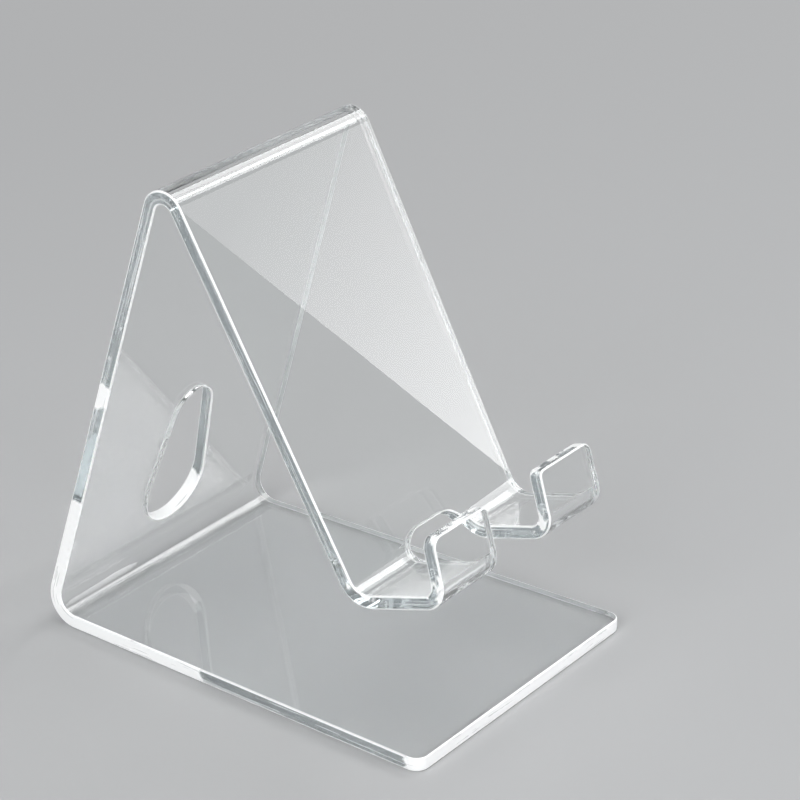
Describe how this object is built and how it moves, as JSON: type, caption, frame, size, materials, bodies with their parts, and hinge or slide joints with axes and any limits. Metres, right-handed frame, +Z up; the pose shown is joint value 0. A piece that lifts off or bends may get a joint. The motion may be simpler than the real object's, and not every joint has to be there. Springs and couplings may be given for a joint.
{
  "type": "phone stand",
  "caption": "Clear one-piece phone stand bent from a tapering acrylic sheet: flat base, rear panel with cable hole, sloping back rest, and hooked ledges parted by a cable notch.",
  "frame": {"origin": "on the surface it stands on, under the middle of the stand", "axes": "+X to the right of someone facing the phone, +Y to the back, +Z up"},
  "size_m": [0.0748, 0.1, 0.1055],
  "materials": {
    "clear_acrylic": "clear, polished faces, flame-polished cut edges"
  },
  "bodies": {
    "root": {"base_plate": "clear_acrylic", "rear_bend": "clear_acrylic", "rear_panel": "clear_acrylic", "crest_bend": "clear_acrylic", "back_rest": "clear_acrylic", "left_ledge_bend": "clear_acrylic", "right_ledge_bend": "clear_acrylic", "left_ledge": "clear_acrylic", "right_ledge": "clear_acrylic", "left_lip_bend": "clear_acrylic", "right_lip_bend": "clear_acrylic", "left_lip": "clear_acrylic", "right_lip": "clear_acrylic"}
  },
  "joints": []
}
